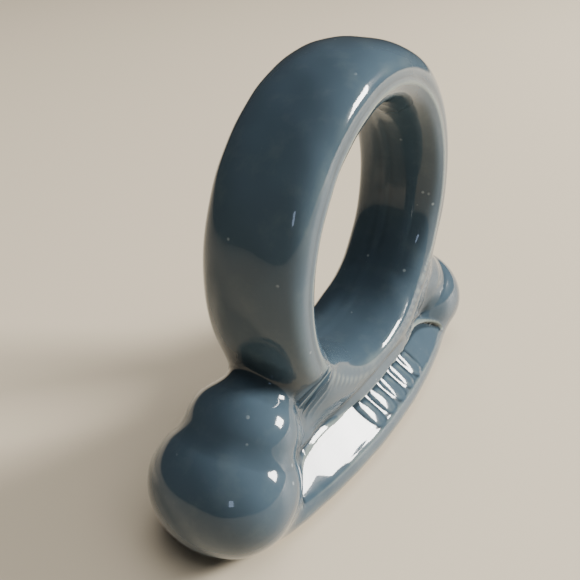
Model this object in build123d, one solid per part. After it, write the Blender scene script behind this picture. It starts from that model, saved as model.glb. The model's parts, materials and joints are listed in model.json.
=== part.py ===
from build123d import *
from math import cos, radians, tan
import os

"""Finger-ring guitar slide in glazed stoneware.

A clay ring for the finger is pressed into a groove in a clay bar, bedded and luted there with slip,
decorated with sprigged reeds in a sunk panel on each long side, and dipped in one coat of glaze.
The coat stops just above the bare foot that the slide stands on.

Frame: +X along the bar, +Y along the ring's bore, +Z up, origin under the bar's middle on the foot.
All sizes are millimetres. Every function that takes an inset gives the same form moved inwards by it:
inset 0 is the glazed outside, GLAZE_WALL is the clay under it.
"""

# Finger ring
BORE_RADIUS = 10.0  # glazed wall, a finger of about US ring size 10
RING_WALL = 4.6  # radial
RING_WIDTH = 8.4  # along the bore
RING_LIFT = 8.8  # foot to the lowest point of the bore
RING_SHIFT = 1.1  # the ring stands this far from the bar's middle
RIM_DEPTH = 2.1  # radial depth of the rounding from the bore to the ring's face
BORE_LAND = 3.2  # straight length of the bore's wall
CROWN_LAND = 1.4  # straight length across the outside

# Bar: a low block with round ends and flanks that lean in from just above the foot, with two balls
# run into each end, one over the other, and a narrow tier that ties the upper balls to the ring
BLOCK_LENGTH = 38.0
BLOCK_HEIGHT = 6.5
BAR_WIDTH = 14.0
BAR_END_RADIUS = 5.5
FOOT_ROUNDING = 2.4
FLANK_BASE = 2.6  # height at which a flank leaves the block's upright side
FLANK_LEAN = 40.0  # degrees from upright
FLANK_PLACE = 15.0  # from mid-length, where the next value holds
FLANK_BOW = 1.2  # how much nearer the middle a flank is there
LOBE_RADIUS = 5.2
LOBE_PLACE = 16.2
LOBE_LIFT = 4.6
CREST_RADIUS = 3.9
CREST_PLACE = 13.9
CREST_LIFT = 8.0
TIER_LENGTH = 29.0
TIER_WIDTH = 7.2
TIER_BASE = 3.0  # where the tier starts, buried in the block
TIER_HEIGHT = 9.6
TIER_ROUNDING = 2.4
FINGER_RELIEF = 1.6  # the bar's top stands this far back from the bore

# Sunk panels, arched along the top, and their reeds
PANEL_LENGTH = 27.8
PANEL_FLAT = 16.0  # length of the straight top edge
PANEL_BASE = 3.1
PANEL_HEIGHT = 2.4
PANEL_DEPTH = 0.4
REED_COUNT = 5
REED_PITCH = 2.1
REED_WIDTH = 0.9
REED_LENGTH = 1.6
REED_RISE = 0.3
REED_SLANT = 21.0  # degrees from upright
REED_SHIFT = 1.4  # of the front panel's middle reed

# Layers
GLAZE_WALL = 0.35
GLAZE_LINE = 0.5  # the coat ends this far above the foot
SLIP_WALL = 0.3

ring_radius = BORE_RADIUS + RING_WALL
ring_height = RING_LIFT + BORE_RADIUS
reed_height = PANEL_BASE + PANEL_HEIGHT / 2
half_turn = Rot(0, 0, 180)
reach = 2 * BLOCK_LENGTH  # longer than any cut has to be


def ring(inset):
    """The finger ring: a section of two straight lands joined by quarter ellipses, turned about the bore."""
    face = RING_WIDTH / 2 - inset
    inner, outer = BORE_RADIUS + inset, ring_radius - inset
    shoulder = BORE_RADIUS + RIM_DEPTH
    bore_end, crown_end = BORE_LAND / 2, CROWN_LAND / 2
    side = Line((inner, 0), (inner, bore_end))
    side += EllipticalCenterArc((shoulder, bore_end), shoulder - inner, face - bore_end, 90)
    side += EllipticalCenterArc((shoulder, crown_end), outer - shoulder, face - crown_end, 0)
    side += Line((outer, crown_end), (outer, 0))
    section = make_face((side + mirror(side, Plane.XZ)).edges())
    return Pos(RING_SHIFT, 0, ring_height) * revolve(section, Axis.Y)


def barrel_plan(length, width, end_radius):
    """A bar's plan: two long arcs tangent to two round ends."""
    end_centre = length / 2 - end_radius
    swell = width / 2 - end_radius
    side_radius = (end_centre**2 + (width / 2) ** 2 - end_radius**2) / (2 * swell)
    share = side_radius / (side_radius - end_radius)
    touch_x = end_centre * share
    touch_y = width / 2 - side_radius + (side_radius - width / 2) * share
    outline = ThreePointArc((touch_x, touch_y), (0, width / 2), (-touch_x, touch_y))
    outline += ThreePointArc((-touch_x, touch_y), (-length / 2, 0), (-touch_x, -touch_y))
    outline += ThreePointArc((-touch_x, -touch_y), (0, -width / 2), (touch_x, -touch_y))
    outline += ThreePointArc((touch_x, -touch_y), (length / 2, 0), (touch_x, touch_y))
    return make_face(outline.edges())


def flank_plan(height, inset):
    """The space between the two flanks at one height: two arcs, closed square beyond the block's ends."""
    lean = radians(FLANK_LEAN)
    waist = BAR_WIDTH / 2 - (height - FLANK_BASE) * tan(lean) - inset / cos(lean)
    end_x = BLOCK_LENGTH / 2 + 0.5
    end_y = waist - FLANK_BOW * (end_x / FLANK_PLACE) ** 2
    outline = ThreePointArc((end_x, end_y), (0, waist), (-end_x, end_y))
    outline += Line((-end_x, end_y), (-end_x, -end_y))
    outline += ThreePointArc((-end_x, -end_y), (0, -waist), (end_x, -end_y))
    outline += Line((end_x, -end_y), (end_x, end_y))
    return Pos(0, 0, height) * make_face(outline.edges())


def flanks(inset):
    """The space between the two flanks: ruled from the foot to just above the block."""
    return loft([flank_plan(0, inset), flank_plan(BLOCK_HEIGHT + 0.1, inset)], ruled=True)


def balls(place, lift, radius):
    """A ball at each end of the bar, cut off level with the foot."""
    above_foot = Pos(0, 0, reach / 2) * Box(reach, reach, reach)
    return [Pos(side * place, 0, lift) * Sphere(radius) & above_foot for side in (-1, 1)]


def bar(inset):
    """The bar's outside, with the finger's way cleared over it."""
    plan = barrel_plan(BLOCK_LENGTH - 2 * inset, BAR_WIDTH - 2 * inset, BAR_END_RADIUS - inset)
    block = extrude(plan, BLOCK_HEIGHT - inset)
    block = fillet(block.edges().group_by(Axis.Z)[0], FOOT_ROUNDING - inset)
    tier = SlotOverall(TIER_LENGTH - 2 * inset, TIER_WIDTH - 2 * inset)
    tier = Pos(0, 0, TIER_BASE) * extrude(tier, TIER_HEIGHT - inset - TIER_BASE)
    tier = fillet(tier.edges().group_by(Axis.Z)[-1], TIER_ROUNDING - inset)
    lobes = balls(LOBE_PLACE, LOBE_LIFT, LOBE_RADIUS - inset)
    crests = balls(CREST_PLACE, CREST_LIFT, CREST_RADIUS - inset)
    finger_way = Cylinder(BORE_RADIUS + FINGER_RELIEF + inset, reach)
    whole = (block & flanks(inset)) + tier + lobes + crests
    return whole - Pos(RING_SHIFT, 0, ring_height) * Rot(90, 0, 0) * finger_way


def panels(inset):
    """What is cut from both long sides to sink the panels."""
    end, flat = PANEL_LENGTH / 2 + inset, PANEL_FLAT / 2
    low, high = PANEL_BASE - inset, PANEL_BASE + PANEL_HEIGHT + inset
    outline = Line((-end, low), (end, low)) + EllipticalCenterArc((flat, low), end - flat, high - low, 0)
    outline += Line((flat, high), (-flat, high))
    outline += EllipticalCenterArc((-flat, low), end - flat, high - low, 90)
    window = extrude(Plane.XZ * make_face(outline.edges()), reach / 2, both=True)
    return window - flanks(inset + PANEL_DEPTH)


def reed_stems(inset):
    """The front panel's reeds, run back to the bar's middle: slanted ovals REED_RISE proud of its floor."""
    spread = GLAZE_WALL - inset
    stem = Plane.XZ * Rot(0, 0, REED_SLANT) * Ellipse(REED_WIDTH / 2 + spread, REED_LENGTH / 2 + spread)
    row = [place.position.X + REED_SHIFT for place in GridLocations(REED_PITCH, 0, REED_COUNT, 1)]
    crest = flanks(inset + PANEL_DEPTH - REED_RISE)
    return [Pos(x, 0, reed_height) * extrude(stem, reach / 2) & crest for x in row]


finger_ring = ring(GLAZE_WALL)
slip_bed = ring(GLAZE_WALL - SLIP_WALL)
bar_clay = bar(GLAZE_WALL) - panels(GLAZE_WALL)
string_bar = bar_clay - slip_bed
slip_joint = (slip_bed - finger_ring & bar_clay).solids().sort_by(SortBy.VOLUME)[-1]
floor = flanks(GLAZE_WALL + PANEL_DEPTH)
front_reeds = Compound([stem - floor for stem in reed_stems(GLAZE_WALL)])
back_reeds = half_turn * front_reeds

glazed_stems = reed_stems(0)
clay_stems = reed_stems(GLAZE_WALL)
outside = ring(0) + bar(0) - panels(0) + glazed_stems + [half_turn * stem for stem in glazed_stems]
clay = [string_bar, slip_joint, finger_ring, *clay_stems, *[half_turn * stem for stem in clay_stems]]
glaze_coat = outside - clay - Box(reach, reach, 2 * GLAZE_LINE)

nodes = {
    "finger_ring": finger_ring,
    "string_bar": string_bar,
    "slip_joint": slip_joint,
    "front_reeds": front_reeds,
    "back_reeds": back_reeds,
    "glaze_coat": glaze_coat,
}
os.makedirs("parts", exist_ok=True)
for name, shape in nodes.items():
    export_step(shape, f"parts/{name}.step")
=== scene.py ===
import json
from math import cos, radians, sin, tan

import bpy
import numpy as np
from mathutils import Matrix, Vector


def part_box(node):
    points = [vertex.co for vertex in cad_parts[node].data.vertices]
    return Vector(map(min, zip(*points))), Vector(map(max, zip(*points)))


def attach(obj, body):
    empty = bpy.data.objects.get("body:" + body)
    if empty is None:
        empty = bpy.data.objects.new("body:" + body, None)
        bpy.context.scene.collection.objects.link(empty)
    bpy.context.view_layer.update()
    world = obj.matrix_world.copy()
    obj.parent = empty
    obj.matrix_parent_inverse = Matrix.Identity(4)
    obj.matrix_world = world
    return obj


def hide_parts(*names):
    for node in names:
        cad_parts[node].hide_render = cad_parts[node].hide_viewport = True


bl_info = {
    "name": "Glazed finger-ring guitar slide",
    "version": (1, 0, 0),
    "blender": (4, 5, 0),
    "location": "3D View > Sidebar > Slide",
    "description": "Builds the glaze, the bare clay and the table of a stoneware guitar slide",
    "category": "Object",
}

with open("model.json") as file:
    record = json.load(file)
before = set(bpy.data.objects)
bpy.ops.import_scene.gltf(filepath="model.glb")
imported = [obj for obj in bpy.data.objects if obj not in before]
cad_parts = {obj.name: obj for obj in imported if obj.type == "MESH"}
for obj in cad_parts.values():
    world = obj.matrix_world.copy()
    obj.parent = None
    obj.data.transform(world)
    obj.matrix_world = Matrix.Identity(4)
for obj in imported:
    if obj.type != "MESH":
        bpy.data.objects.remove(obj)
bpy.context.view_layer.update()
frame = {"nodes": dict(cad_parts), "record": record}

MM = 0.001
MOUNTS = {mount["name"]: mount for mount in frame["record"]["mounts"]}
BORE = MOUNTS["finger_bore"]
COAT_LOW, COAT_HIGH = (Vector(corner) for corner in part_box("glaze_coat"))


def length(name, default, description):
    """A length property in metres, given in millimetres."""
    return bpy.props.FloatProperty(
        name=name, default=default * MM, description=description,
        subtype="DISTANCE", unit="LENGTH", precision=5,
    )


def lengths(name, default, description):
    """Three lengths in metres, given in millimetres."""
    return bpy.props.FloatVectorProperty(
        name=name, default=[each * MM for each in default], description=description,
        subtype="XYZ_LENGTH", unit="LENGTH", precision=5,
    )


def angle(name, default, description):
    """An angle property, given in degrees."""
    return bpy.props.FloatProperty(
        name=name, default=radians(default), description=description, subtype="ANGLE", unit="ROTATION"
    )


def colour(name, default, description):
    """A linear colour property."""
    return bpy.props.FloatVectorProperty(
        name=name, default=default, description=description, subtype="COLOR", size=3, min=0, max=1
    )


class SlideRing(bpy.types.PropertyGroup):
    """Sizes of the finger ring as glazed"""

    bore_radius: length("Bore radius", BORE["dims"]["r_mm"], "Radius of the hole for the finger")
    shift: length("Shift", BORE["pos_m"][0] / MM, "How far the ring stands from the bar's middle")
    bore_height: length("Bore height", BORE["pos_m"][2] / MM, "Height of the bore's axis above the foot")
    wall: length("Wall", (COAT_HIGH.z - BORE["pos_m"][2]) / MM - BORE["dims"]["r_mm"], "Radial thickness")
    width: length("Width", 8.3, "Width along the bore")
    rim_place: length("Rim place", 11.8, "Radius of the edge where the flare of the bore meets the face")
    rim_rise: length("Rim rise", 0.07, "Height of that edge")
    seam_rise: length("Seam rise", 0.09, "Height of the faint seam that runs round inside the bore")
    seam_place: length("Seam place", 0.7, "How far the seam lies from the ring's middle")


class SlideBar(bpy.types.PropertyGroup):
    """Sizes of the bar as glazed"""

    half_width: length("Half width", COAT_HIGH.y / MM, "From the middle to the flank, at its foot")
    block_half_length: length("Block half length", 19.0, "From the middle to the bar's end, under its lobes")
    end_radius: length("End radius", 5.5, "Radius of the bar's round ends, seen from above")
    block_height: length("Block height", 6.5, "Height of the bar between its lobes")
    foot_rounding: length("Foot rounding", 2.4, "Rounding down to the foot")
    flank_base: length("Flank base", 2.6, "Height at which the flank starts to lean in")
    flank_lean: angle("Flank lean", 40.0, "Lean of the flank from upright")
    flank_place: length("Flank place", 15.0, "Distance from mid-length where the bow is measured")
    flank_bow: length("Flank bow", 1.2, "How much nearer the middle a flank is there")
    lobe: lengths("Lobe", (4.8, 5.8, 4.95), "Radii of the lower lobes along, across and upright")
    lobe_inner: length("Lobe inner", 6.0, "Radius along of a lower lobe's inner half")
    lobe_x: length("Lobe place", 16.6, "From mid-length to the middle of a lower lobe")
    lobe_z: length("Lobe height", 4.8, "Height of the middle of a lower lobe")
    crest: lengths("Crest", (4.0, 4.4, 3.6), "Radii of the upper lobes along, across and upright")
    crest_x: length("Crest place", 13.9, "From mid-length to the middle of an upper lobe")
    crest_z: length("Crest height", 8.3, "Height of the middle of an upper lobe")
    tier_half_length: length("Tier half length", 14.5, "From the middle to the tier's end")
    tier_radius: length("Tier radius", 3.6, "Radius of the tier's ends, seen from above")
    tier_height: length("Tier height", 9.6, "Height of the tier")
    tier_rounding: length("Tier rounding", 2.4, "Rounding on top of the tier")
    finger_relief: length("Finger relief", 1.6, "How far the bar's top stands back from the bore")
    neck_blend: length("Neck blend", 2.4, "How broadly the glaze fills the corner between ring and bar")
    lobe_blend: length("Lobe blend", 0.8, "How broadly the glaze fills the valley between the lobes")
    glaze_line: length("Glaze line", 0.45, "Height above the foot where the glaze ends")


class SlidePanel(bpy.types.PropertyGroup):
    """Sizes of the sunk panels and of their reeds, as seen from the front"""

    half_length: length("Half length", 13.9, "Half the panel's length along its lower edge")
    half_flat: length("Half flat", 8.0, "Half the length of the straight top edge")
    base: length("Base", 3.1, "Height of the panel's lower edge")
    height: length("Height", 2.4, "From the lower edge to the top edge")
    depth: length("Depth", 0.4, "Depth of the floor under the flank")
    edge: length("Edge", 0.25, "Softness of the step under the glaze")
    reed_shift: length("Reed shift", 1.4, "Place of the middle reed along the front")
    reed_middle: length("Reed middle", 4.3, "Height of the reeds' middle")
    reed_pitch: length("Reed pitch", 2.1, "From one reed to the next")
    reed_width: length("Reed width", 1.9, "Width of a reed under the glaze")
    reed_length: length("Reed length", 3.0, "Length of a reed under the glaze")
    reed_rise: length("Reed rise", 0.18, "Height of a reed above the floor")
    reed_slant: angle("Reed slant", 21.0, "Slant of the reeds from upright")
    reed_reach: bpy.props.IntProperty(
        name="Reeds each side", default=2, description="Reeds on each side of the middle one"
    )


class SlideLooks(bpy.types.PropertyGroup):
    """Colours of the glaze, the clay and the table"""

    glaze: colour("Glaze", (0.050, 0.078, 0.104), "The glaze where it lies evenly")
    # Painted shade: a darker glaze colour laid into hollows and creases
    glaze_hollow_shade: colour("Glaze in painted shade", (0.024, 0.038, 0.050), "The glaze darkened in hollows as painted shade")
    glaze_thin: colour("Thin glaze", (0.17, 0.21, 0.20), "The glaze where it breaks over an edge")
    clay: colour("Clay", (0.62, 0.53, 0.42), "The bare foot")
    table: colour("Table", (0.68, 0.59, 0.45), "The table top")


# Surface of the glaze, in millimetres

COLUMNS, ROWS = 480, 206  # of the skin's grid, round the hole and round a section
REACH = 16.0  # how far a ray from the spine is followed
CROWN_BLUNTNESS, BORE_BLUNTNESS = 2.43, 2.71  # powers of the ring's section, outside and inside
SEAM_SPREAD, RIM_SPREAD = 0.35, 0.3
FLANK_BLEND, FINGER_BLEND, ARCH_BLEND, BORE_BLEND, LINE_BLEND = 0.8, 0.6, 0.3, 0.15, 0.12
RIPPLE = 0.018  # the hand-made unevenness
BEND_STEP = 0.3  # between the places where the skin's bend is measured


def smooth_min(a, b, reach):
    """The lesser of two fields, rounded where they differ by less than reach.

    min(a, b) - (reach - |a - b|)^2 / (4 reach)
    """
    near = np.maximum(reach - np.abs(a - b), 0.0)
    return np.minimum(a, b) - near * near / (4.0 * reach)


def smooth_max(a, b, reach):
    """The greater of two fields, rounded the same way."""
    return -smooth_min(-a, -b, reach)


def pillow(plan, height, top, rounding):
    """A block with a rounded rim: plan distance and height above it, joined by a quarter circle."""
    p, q = plan + rounding, height - top + rounding
    return np.minimum(np.maximum(p, q), 0.0) + np.hypot(np.maximum(p, 0.0), np.maximum(q, 0.0)) - rounding


def ellipsoid(offset, radii):
    """About the distance outside an ellipsoid: k (k - 1) / m.

    k is the length of the offset divided by the radii, m that of the offset divided by their squares.
    """
    k = np.sqrt(sum((each / radius) ** 2 for each, radius in zip(offset, radii)))
    m = np.sqrt(sum((each / radius**2) ** 2 for each, radius in zip(offset, radii)))
    return k * (k - 1) / (m + 1e-9)


def in_mm(group):
    """A property group's lengths in millimetres and its other values as they are."""
    sizes = {}
    for key, rule in group.bl_rna.properties.items():
        if key not in ("name", "rna_type"):
            value = getattr(group, key)
            scale = MM if rule.type == "FLOAT" and rule.unit == "LENGTH" else 1
            sizes[key] = np.array(value) / scale if getattr(rule, "array_length", 0) else value / scale
    return type("Sizes", (), sizes)


class Skin:
    """The glazed outside of the slide as one field: below zero inside, about the distance outside."""

    def __init__(self, ring, bar, panel):
        self.ring, self.bar, self.panel = ring, bar, panel

    def from_bore(self, x, z):
        """Distance from the bore's axis."""
        return np.hypot(x - self.ring.shift, z - self.ring.bore_height)

    def ring_field(self, x, y, z):
        """A ring whose section is a superellipse, blunter towards the bore than towards the crown."""
        r = self.ring
        middle, half_wall, half_width = r.bore_radius + r.wall / 2, r.wall / 2, r.width / 2
        across = self.from_bore(x, z) - middle
        power = np.where(across > 0, CROWN_BLUNTNESS, BORE_BLUNTNESS)
        size = (np.abs(across / half_wall) ** power + np.abs(y / half_width) ** power) ** (1 / power)
        away = np.hypot(across, y)
        seam = r.seam_rise * np.exp(-(((y - r.seam_place) / SEAM_SPREAD) ** 2)) * (across < 0)
        on_face = np.abs(y) > 0.5 * half_width
        rim = r.rim_rise * np.exp(-(((across + middle - r.rim_place) / RIM_SPREAD) ** 2)) * on_face
        return away - away / (size + 1e-9) - seam - rim

    def flank_half_width(self, x, z):
        """Half the width between the flanks: they bow in towards the ends and lean in with height."""
        b = self.bar
        waist = b.half_width - b.flank_bow * (x / b.flank_place) ** 2
        return waist - (z - b.flank_base) * tan(b.flank_lean)

    def flank_field(self, x, y, z):
        """Distance outside the nearer flank."""
        return (np.abs(y) - self.flank_half_width(x, z)) * cos(self.bar.flank_lean)

    def bar_field(self, x, y, z):
        """A barrel-shaped block between leaning flanks, run together with two balls at each end."""
        b = self.bar
        along, side = np.abs(x), np.abs(y)
        end = b.block_half_length - b.end_radius
        bow = (end**2 + b.half_width**2 - b.end_radius**2) / (2 * (b.half_width - b.end_radius))
        centre = bow - b.half_width
        on_side = along * centre < end * (side + centre)
        plan = np.where(on_side, np.hypot(x, side + centre) - bow, np.hypot(along - end, side) - b.end_radius)
        block = np.maximum(pillow(plan, -z, 0.0, b.foot_rounding), z - b.block_height)
        block = smooth_max(block, self.flank_field(x, y, z), FLANK_BLEND)
        slot = np.hypot(np.maximum(along - b.tier_half_length + b.tier_radius, 0.0), side) - b.tier_radius
        tier = pillow(slot, z, b.tier_height, b.tier_rounding)
        lobe_along = np.where(along > b.lobe_x, b.lobe[0], b.lobe_inner)
        lobe = ellipsoid((along - b.lobe_x, y, z - b.lobe_z), (lobe_along, *b.lobe[1:]))
        crest = ellipsoid((along - b.crest_x, y, z - b.crest_z), b.crest)
        body = smooth_min(np.minimum(block, tier), lobe, b.lobe_blend)
        joined = smooth_min(body, crest, b.lobe_blend)
        finger_way = self.ring.bore_radius + b.finger_relief - self.from_bore(x, z)
        return smooth_max(joined, finger_way, FINGER_BLEND)

    def relief(self, along, z):
        """Height of the reeds: soft ovals in a slanted row."""
        p = self.panel
        up = z - p.reed_middle
        along = along + up * tan(p.reed_slant)
        place = np.clip(np.round(along / p.reed_pitch), -p.reed_reach, p.reed_reach)
        off = (along - place * p.reed_pitch) / (p.reed_width / 2)
        oval = np.clip(1.0 - off**2 - np.abs(up / (p.reed_length / 2)) ** 3, 0.0, 1.0)
        return p.reed_rise * oval * oval * (3.0 - 2.0 * oval)

    def panel_field(self, x, y, z):
        """The sunk panel: inside a window arched along the top, outside a floor that runs out of the flank
        at the lower edge and lies deepest under the upper one.

        The back panel is the front one after half a turn.
        """
        p = self.panel
        along = np.where(y < 0, x, -x)
        out, up = np.maximum(np.abs(along) - p.half_flat, 0.0), z - p.base
        arch = ellipsoid((out, np.maximum(up, 0.0)), (p.half_length - p.half_flat, p.height))
        window = smooth_max(arch, -up, ARCH_BLEND)
        depth = p.depth * np.clip(0.15 + up / p.height, 0.0, 1.2)
        floor = self.flank_field(x, y, z) + depth - self.relief(along - p.reed_shift, z)
        return smooth_max(window, -floor, 0.5 * p.edge)

    def field(self, x, y, z):
        """Bar and ring run together, the panels sunk, the bore kept clear, the coat ended above the foot."""
        whole = smooth_min(self.bar_field(x, y, z), self.ring_field(x, y, z), self.bar.neck_blend)
        whole = smooth_max(whole, -self.panel_field(x, y, z), self.panel.edge)
        broad = np.sin(0.9 * x + 0.4 * z) * np.sin(0.7 * y + 1.1)
        whole = whole + RIPPLE * (broad + 0.6 * np.sin(1.7 * x - 1.3 * y + 0.8 * z))
        bore = self.ring.bore_radius - self.from_bore(x, z)
        whole = smooth_max(whole, bore, BORE_BLEND)
        return smooth_max(whole, self.bar.glaze_line - z, LINE_BLEND)


def spine(columns, ring):
    """Stations inside the clay, once round the hole, and the way each looks outwards and towards the bore.

    On the ring they lie on its middle circle and look straight out. Under the neck they turn up to look at
    the crease, then they run through the upper lobe into the lower one, looking at the outline as it goes
    by, and come back along the bar looking down. The list is for one end and is mirrored for the other.
    As far as the neck the stations stand off to the ring's side by its shift; from there on they lie evenly
    about the bar's middle.
    """
    on_ring_count, ring_share, neck_turn = 30, 2.4, 67
    neck, lobe = on_ring_count + 4, on_ring_count + 7
    middle, height = ring.bore_radius + ring.wall / 2, ring.bore_height
    turn = np.radians(np.linspace(180, neck_turn, on_ring_count))
    out = np.stack([np.sin(turn), -np.cos(turn)], 1)
    on_ring = np.concatenate([middle * out, (ring.bore_radius + ring.wall) * out], 1)
    on_ring[:, [1, 3]] += height
    # station x, z and the place it looks at, x, z; columns spent on the way there
    in_bar = np.array(
        [
            (11.45, 13.50, 13.48, 13.02, 4), (11.60, 12.95, 13.50, 12.98, 4), (11.85, 12.40, 13.52, 12.93, 4),
            (12.25, 11.85, 13.56, 12.85, 5), (13.00, 10.75, 13.90, 12.25, 7), (13.60, 9.90, 14.70, 12.00, 6),
            (14.00, 9.00, 15.20, 11.75, 6), (14.25, 8.05, 15.90, 11.30, 7), (14.55, 7.70, 16.95, 10.40, 7),
            (14.95, 7.20, 17.55, 9.75, 5),
            (15.35, 6.75, 18.20, 9.35, 5), (15.80, 6.20, 19.60, 8.50, 8), (16.05, 5.60, 20.90, 6.90, 9),
            (16.15, 5.10, 21.40, 4.90, 10), (16.10, 4.70, 21.10, 3.10, 9), (15.90, 4.40, 20.20, 1.50, 9),
            (15.50, 4.20, 19.00, 0.60, 7), (14.70, 4.00, 17.20, 0.45, 6), (13.40, 3.90, 14.60, 0.45, 8),
            (12.00, 3.90, 12.20, 0.45, 6), (0.0, 3.90, 0.0, 0.45, 62),
        ]
    )
    stations = np.concatenate([on_ring, in_bar[:, :4]])
    share = np.cumsum(np.concatenate([[0], np.full(on_ring_count - 1, ring_share), in_bar[:, 4]]))
    where = np.linspace(0, share[-1], columns // 2 + 1)
    x, z, look_x, look_z = (np.interp(where, share, stations[:, i]) for i in range(4))
    shift = ring.shift * np.interp(where, share[[neck, lobe]], [1, 0])
    x, look_x = (np.concatenate([each, -each[-2:0:-1]]) for each in (x, look_x))
    z, look_z, shift = (np.concatenate([each, each[-2:0:-1]]) for each in (z, look_z, shift))
    none = np.zeros_like(x)
    at = np.stack([x + shift, none, z], -1)
    out = np.stack([look_x - x, none, look_z - z], -1)
    out /= np.linalg.norm(out, axis=-1, keepdims=True)
    inward = np.stack([ring.shift - at[:, 0], none, height - z], -1)
    inward /= np.linalg.norm(inward, axis=-1, keepdims=True)
    low = np.clip((7.0 - z) / 3.0, 0.0, 1.0)  # 0 above 7 mm and 1 below 4 mm, where the rays rise alike
    stretch = 1 + low * (1 / np.maximum(inward[:, 2], 0.3) - 1)
    return at, out, inward * stretch[:, None]


def section_angles(rows):
    """Angles round a section, closer together over the panels: even steps through a summed density.

    density = 1 + extra exp(-((angle - panel) / spread)^4), in degrees
    """
    extra, panel, spread = 3.2, 8, 17
    fine = np.radians(np.linspace(-90, 90, 721))
    density = 1 + extra * np.exp(-(((np.degrees(fine) - panel) / spread) ** 4))
    share = np.concatenate([[0], np.cumsum((density[1:] + density[:-1]) / 2)])
    front = np.interp(np.linspace(0, share[-1], rows // 2 + 1), share, fine)
    side = np.concatenate([-np.ones(len(front)), np.ones(len(front) - 2)])
    return np.concatenate([front, front[-2:0:-1]]), side


def closed_grid(points):
    """Quads of a grid that closes both ways. On the skin's grid this order turns them into the clay."""
    columns, rows = points.shape[:2]
    index = np.arange(columns * rows).reshape(columns, rows)
    ahead, up = np.roll(index, -1, 0), np.roll(index, -1, 1)
    both = np.roll(ahead, -1, 1)
    return np.stack([index, ahead, both, up], -1).reshape(-1, 4)


def cast(field, start, way, far, steps=90, halvings=26):
    """Where each ray first leaves the clay: stepped out evenly, then halved. All rays move together."""
    inside, outside = np.zeros(way.shape[:-1]), np.full(way.shape[:-1], far)
    found = np.zeros(way.shape[:-1], bool)
    for reach in np.linspace(0, far, steps)[1:]:
        value = field(*np.moveaxis(start + way * reach, -1, 0))
        hit = (value > 0) & ~found
        outside = np.where(hit, reach, outside)
        found |= hit
        inside = np.where(found, inside, reach)
    for _ in range(halvings):
        middle = (inside + outside) / 2
        value = field(*np.moveaxis(start + way * middle[..., None], -1, 0))
        inside, outside = np.where(value < 0, middle, inside), np.where(value < 0, outside, middle)
    if not found.all():
        raise RuntimeError("the glaze's surface is open: some rays never leave the clay")
    return start + way * ((inside + outside) / 2)[..., None]


def mesh_object(name, points, faces, smooth=True):
    """A mesh object at the origin from points in millimetres and faces."""
    mesh = bpy.data.meshes.new(name)
    mesh.from_pydata((points.reshape(-1, 3) * MM).tolist(), [], faces.tolist())
    mesh.polygons.foreach_set("use_smooth", np.full(len(faces), smooth))
    mesh.update()
    piece = bpy.data.objects.new(name, mesh)
    bpy.context.scene.collection.objects.link(piece)
    return piece


# Materials


class Value:
    """A number socket that can be used in sums: each operator adds a Math node."""

    def __init__(self, tree, socket):
        self.tree, self.socket = tree, socket

    def _math(self, operation, *values):
        return self.tree.add("ShaderNodeMath", {"operation": operation}, dict(enumerate(values)))

    def __add__(self, other):
        return self._math("ADD", self, other)

    def __radd__(self, other):
        return self._math("ADD", other, self)

    def __sub__(self, other):
        return self._math("SUBTRACT", self, other)

    def __rsub__(self, other):
        return self._math("SUBTRACT", other, self)

    def __mul__(self, other):
        return self._math("MULTIPLY", self, other)

    def __rmul__(self, other):
        return self._math("MULTIPLY", other, self)

    def clamp(self):
        """Kept between 0 and 1."""
        return self.tree.add("ShaderNodeClamp", {}, {"Value": self})


class Finish:
    """A material's node tree."""

    def __init__(self, name):
        self.material = bpy.data.materials.new(name)
        self.material.use_nodes = True
        self.nodes = self.material.node_tree.nodes
        self.links = self.material.node_tree.links
        self.nodes.clear()
        output = self.nodes.new("ShaderNodeOutputMaterial")
        self.shader = self.nodes.new("ShaderNodeBsdfPrincipled")
        self.links.new(self.shader.outputs[0], output.inputs["Surface"])
        self.place = self.add("ShaderNodeTexCoord", {}, {}, "Object")

    def add(self, kind, settings, inputs, output=0):
        """A node: its settings first, then the values or links of its sockets."""
        node = self.nodes.new(kind)
        for key, value in settings.items():
            setattr(node, key, value)
        for key, value in inputs.items():
            self.feed(node.inputs[key], value)
        return Value(self, node.outputs[output])

    def feed(self, socket, value):
        """Links a value to a socket, or sets it."""
        if isinstance(value, Value):
            self.links.new(value.socket, socket)
        else:
            socket.default_value = value

    def mix(self, share, first, second):
        """A colour between two."""
        colours = {"A": first, "B": second}
        node = self.nodes.new("ShaderNodeMix")
        node.data_type = "RGBA"
        self.feed(node.inputs["Factor"], share)
        for socket in node.inputs:
            if socket.type == "RGBA" and socket.name in colours:
                value = colours[socket.name]
                self.feed(socket, value if isinstance(value, Value) else (*value, 1.0))
        return Value(self, next(out for out in node.outputs if out.type == "RGBA"))

    def noise(self, scale, detail=3.0, rough=0.5):
        """Noise in the piece's own space."""
        return self.add(
            "ShaderNodeTexNoise", {"noise_dimensions": "3D"},
            {"Vector": self.place, "Scale": scale, "Detail": detail, "Roughness": rough}, "Fac",
        )

    def between(self, value, low, high):
        """A smooth step from low to high."""
        return self.add(
            "ShaderNodeMapRange", {"interpolation_type": "SMOOTHSTEP"},
            {"Value": value, "From Min": low, "From Max": high}, "Result",
        )

    def dots(self, scale, size):
        """Small round dots, one where a cell's middle lies."""
        near = self.add(
            "ShaderNodeTexVoronoi", {"feature": "F1"}, {"Vector": self.place, "Scale": scale}, "Distance"
        )
        return 1 - self.between(near, size * 0.5, size)

    def bump(self, height, strength, distance):
        """A bump that feeds the shader's normal."""
        bump = self.add(
            "ShaderNodeBump", {}, {"Height": height, "Strength": strength, "Distance": distance}, "Normal"
        )
        self.feed(self.shader.inputs["Normal"], bump)


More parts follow.
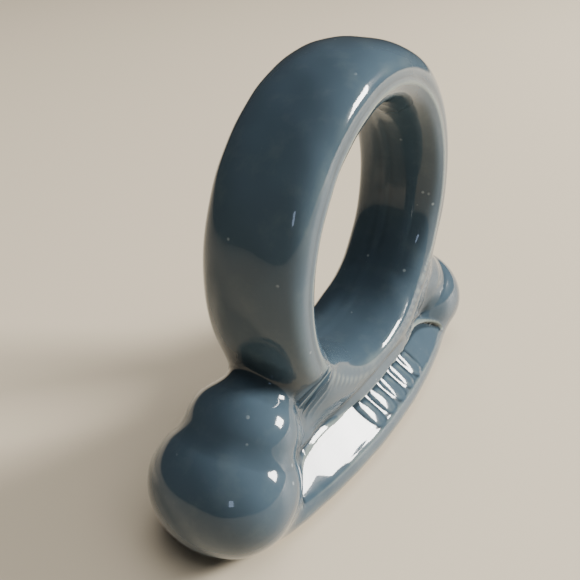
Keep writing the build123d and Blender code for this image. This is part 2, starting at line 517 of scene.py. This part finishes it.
def glaze_finish(looks):
    """Glossy glaze with drifts, specks and pinholes: lighter where it breaks over edges, darkened in hollows
    as painted shade.
    """
    f = Finish("glaze_finish")
    # Mask of the hollows that get painted shade
    hollow_shade = f.add("ShaderNodeAttribute", {"attribute_name": "hollow_shade"}, {}, "Fac")
    thin = f.add("ShaderNodeAttribute", {"attribute_name": "thin"}, {}, "Fac")
    lighter, speck_tone = tuple(1.25 * c for c in looks.glaze), (0.45, 0.52, 0.54)
    drift = f.noise(scale=160.0, detail=2.0)
    cloud = f.noise(scale=520.0, detail=4.0, rough=0.6)
    speck = f.dots(scale=900.0, size=0.16) * f.between(f.noise(scale=300.0), low=0.55, high=0.62)
    tone = f.mix(f.between(drift, low=0.35, high=0.68) * 0.55, looks.glaze, lighter)
    tone = f.mix((cloud - 0.5).clamp() * 0.5, tone, looks.glaze_thin)
    # Painted shade: hollows and creases darkened towards the hollow shade colour
    tone = f.mix((hollow_shade * (0.8 + 0.4 * drift)).clamp(), tone, looks.glaze_hollow_shade)
    tone = f.mix((thin * (0.55 + 0.9 * cloud)).clamp(), tone, looks.glaze_thin)
    tone = f.mix(speck * 0.35, tone, speck_tone)
    f.feed(f.shader.inputs["Base Color"], tone)
    f.feed(f.shader.inputs["Roughness"], 0.10 + 0.08 * cloud)
    f.shader.inputs["Specular IOR Level"].default_value = 0.08
    f.shader.inputs["Coat Weight"].default_value = 1.0
    f.shader.inputs["Coat Roughness"].default_value = 0.02
    f.shader.inputs["Coat IOR"].default_value = 1.36
    pinhole = f.dots(scale=1300.0, size=0.10) * f.between(f.noise(scale=420.0), low=0.56, high=0.6)
    skin = 0.6 * f.noise(scale=900.0, detail=2.0) + 0.25 * f.noise(scale=330.0, detail=1.0)
    f.bump(skin - 0.5 * pinhole, strength=0.12, distance=0.08 * MM)
    return f.material


def clay_finish(name, looks, shade):
    """Bare stoneware: sandy and matt, with grog, iron specks and fine pores."""
    f = Finish(name)
    body = tuple(c * shade for c in looks.clay)
    darker = tuple(c * 0.82 for c in body)
    iron, grog = (0.22, 0.13, 0.08), (0.78, 0.72, 0.62)
    grain = f.noise(scale=900.0, detail=5.0, rough=0.65)
    tone = f.mix(f.between(f.noise(scale=140.0), low=0.3, high=0.7) * 0.5, body, darker)
    tone = f.mix(f.dots(scale=700.0, size=0.2) * f.between(grain, low=0.48, high=0.6), tone, iron)
    tone = f.mix(f.dots(scale=1100.0, size=0.25) * 0.5, tone, grog)
    f.feed(f.shader.inputs["Base Color"], tone)
    f.feed(f.shader.inputs["Roughness"], 0.72 + 0.2 * grain)
    f.shader.inputs["Specular IOR Level"].default_value = 0.3
    f.bump(grain - 0.6 * f.dots(scale=1500.0, size=0.22), strength=0.5, distance=0.12 * MM)
    return f.material


def table_finish(looks):
    """A quiet matt surface for the table."""
    f = Finish("table_finish")
    darker = tuple(c * 0.93 for c in looks.table)
    drift = f.noise(scale=30.0, detail=4.0)
    f.feed(f.shader.inputs["Base Color"], f.mix(drift * 0.25, looks.table, darker))
    f.feed(f.shader.inputs["Roughness"], 0.55 + 0.08 * drift)
    f.bump(f.noise(scale=1200.0), strength=0.05, distance=0.1 * MM)
    return f.material


def dress(piece, material):
    """Puts one material on a piece in place of what it has."""
    piece.data.materials.clear()
    piece.data.materials.append(material)


# Operators


class OBJECT_OT_slide_glaze(bpy.types.Operator):
    """Makes the glaze: one closed skin over ring, bar, panels and reeds"""

    bl_idname = "object.slide_glaze"
    bl_label = "Glaze"

    def execute(self, context):
        """Casts rays from the spine to the skin, and marks the hollows that get painted shade and where the
        glaze thins.

        bend = (sum of the field a step each way along x, y and z - 6 field) / step^2 / slope
        """
        scene = context.scene
        ring, bar, panel = in_mm(scene.slide_ring), in_mm(scene.slide_bar), in_mm(scene.slide_panel)
        skin = Skin(ring, bar, panel)
        at, out, inward = spine(COLUMNS, ring)
        angles, side = section_angles(ROWS)
        lift = np.sin(angles)[None, :, None]
        way = np.where(lift > 0, lift * inward[:, None], -lift * out[:, None])
        way = way + (np.cos(angles) * side)[None, :, None] * np.array([0.0, 1.0, 0.0])
        way /= np.linalg.norm(way, axis=-1, keepdims=True)
        points = cast(skin.field, np.broadcast_to(at[:, None], way.shape), way, REACH)
        piece = mesh_object("glaze", points, closed_grid(points))

        place = np.moveaxis(points, -1, 0)
        steps = np.eye(3)[:, :, None, None] * BEND_STEP
        around = [(skin.field(*(place + step)), skin.field(*(place - step))) for step in steps]
        slope = np.sqrt(sum((ahead - behind) ** 2 for ahead, behind in around)) / (2 * BEND_STEP)
        spread = sum(ahead + behind for ahead, behind in around) - 6 * skin.field(*place)
        bend = spread / BEND_STEP**2 / slope
        # Where the skin bends inwards the glaze gets painted shade; where it bends sharply outwards the glaze
        # thins
        for name, value in (("hollow_shade", -bend * 1.1), ("thin", (bend - 0.6) * 0.9)):
            layer = piece.data.attributes.new(name, "FLOAT", "POINT")
            layer.data.foreach_set("value", np.clip(value, 0.0, 1.0).ravel())
        dress(piece, glaze_finish(scene.slide_looks))
        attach(piece, "root")
        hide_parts("glaze_coat")
        return {"FINISHED"}


class OBJECT_OT_slide_clay(bpy.types.Operator):
    """Finishes the clay parts, of which the bare foot shows"""

    bl_idname = "object.slide_clay"
    bl_label = "Clay"

    def execute(self, context):
        """Gives the ring, bar, slip and reeds their bare clay."""
        looks = context.scene.slide_looks
        shades = {
            "finger_ring": 1.0, "string_bar": 1.0, "slip_joint": 0.9, "front_reeds": 1.08, "back_reeds": 1.08,
        }
        finishes = {
            shade: clay_finish(f"clay_finish_{shade:.2f}", looks, shade)
            for shade in sorted(set(shades.values()))
        }
        for node, shade in shades.items():
            dress(frame["nodes"][node], finishes[shade])
        return {"FINISHED"}


class OBJECT_OT_slide_stage(bpy.types.Operator):
    """Makes the table, the lights and the camera"""

    bl_idname = "object.slide_stage"
    bl_label = "Stage"

    def execute(self, context):
        """Lays the table under the foot and lights it from a window on the camera's right."""
        looks = context.scene.slide_looks
        u, v = np.meshgrid(np.linspace(-1, 1, 3), np.linspace(-1, 1, 3), indexing="ij")
        faces = np.array([(0, 3, 4, 1), (1, 4, 5, 2), (3, 6, 7, 4), (4, 7, 8, 5)])
        half_side, set_back = 900, 300
        corners = np.stack([u * half_side + set_back, v * half_side, u * 0], -1)
        table = mesh_object("table", corners, faces, smooth=False)
        dress(table, table_finish(looks))

        background = bpy.data.worlds.new("room")
        background.use_nodes = True
        sockets = background.node_tree.nodes["Background"].inputs
        sockets["Color"].default_value = (0.62, 0.60, 0.58, 1.0)
        sockets["Strength"].default_value = 0.08
        context.scene.world = background

        self.lamp(
            context, "window", azimuth=-50.0, elevation=24.0, distance=0.6, size=(0.17, 0.15), power=9.0,
            tint=(1.0, 0.97, 0.92),
        )
        self.lamp(
            context, "glint", azimuth=-147.0, elevation=21.0, distance=0.6, size=(0.05, 0.09), power=0.12,
            tint=(0.55, 0.70, 1.0),
        )
        ceiling = self.lamp(
            context, "ceiling", azimuth=-60.0, elevation=75.0, distance=0.9, size=(1.0, 1.0), power=9.0,
            tint=(1.0, 0.98, 0.95),
        )
        ceiling.visible_glossy = False
        self.camera(context)
        return {"FINISHED"}

    @staticmethod
    def lamp(context, name, azimuth, elevation, distance, size, power, tint):
        """A rectangular light in a given direction, in degrees, facing the slide."""
        flat = cos(radians(elevation))
        way = Vector((flat * cos(radians(azimuth)), flat * sin(radians(azimuth)), sin(radians(elevation))))
        light = bpy.data.lights.new(name, "AREA")
        light.shape, light.size, light.size_y = "RECTANGLE", size[0], size[1]
        light.energy, light.color = power, tint
        lamp = bpy.data.objects.new(name, light)
        lamp.location = way * distance
        lamp.rotation_euler = way.to_track_quat("Z", "Y").to_euler()
        context.scene.collection.objects.link(lamp)
        return lamp

    @staticmethod
    def camera(context):
        """A camera close to the slide, above its near end."""
        azimuth, elevation, roll, distance = radians(-58.04), radians(29.69), radians(-0.5), 59.97
        back = Vector((sin(azimuth) * cos(elevation), -cos(azimuth) * cos(elevation), sin(elevation)))
        right = Vector((cos(azimuth), sin(azimuth), 0.0))
        up = back.cross(right)
        target = Vector((1.1, 0.0, 15.0)) + right * -4.25 + up * -1.98
        right, up = right * cos(roll) + up * sin(roll), up * cos(roll) - right * sin(roll)
        lens = bpy.data.cameras.new("camera")
        lens.sensor_width, lens.lens, lens.clip_start, lens.clip_end = 36.0, 44.02, 0.002, 20.0
        camera = bpy.data.objects.new("camera", lens)
        turn = Matrix((right, up, back)).transposed()
        camera.matrix_world = Matrix.Translation((target + back * distance) * MM) @ turn.to_4x4()
        context.scene.collection.objects.link(camera)
        context.scene.camera = camera


class VIEW3D_PT_slide(bpy.types.Panel):
    """The slide's sizes and its steps"""

    bl_label = "Slide"
    bl_idname = "VIEW3D_PT_slide"
    bl_space_type = "VIEW_3D"
    bl_region_type = "UI"
    bl_category = "Slide"

    def draw(self, context):
        """Lists every size, then the steps in order."""
        for group in GROUPS:
            box = self.layout.box()
            box.label(text=group)
            settings = getattr(context.scene, group)
            for key in settings.bl_rna.properties.keys():
                if key not in ("name", "rna_type"):
                    box.prop(settings, key)
        for step in STEPS:
            self.layout.operator(step.bl_idname)


GROUPS = {
    "slide_ring": SlideRing, "slide_bar": SlideBar, "slide_panel": SlidePanel, "slide_looks": SlideLooks,
}
STEPS = (OBJECT_OT_slide_glaze, OBJECT_OT_slide_clay, OBJECT_OT_slide_stage)


def register():
    """Registers the classes and hangs the sizes on the scene."""
    for each in (*GROUPS.values(), *STEPS, VIEW3D_PT_slide):
        bpy.utils.register_class(each)
    for name, group in GROUPS.items():
        setattr(bpy.types.Scene, name, bpy.props.PointerProperty(type=group))


def unregister():
    """Takes them away again."""
    for name in GROUPS:
        delattr(bpy.types.Scene, name)
    for each in reversed((*GROUPS.values(), *STEPS, VIEW3D_PT_slide)):
        bpy.utils.unregister_class(each)


def main():
    """Builds the slide and its stage."""
    register()
    bpy.ops.object.slide_glaze()
    bpy.ops.object.slide_clay()
    bpy.ops.object.slide_stage()


if __name__ == "__main__":
    main()
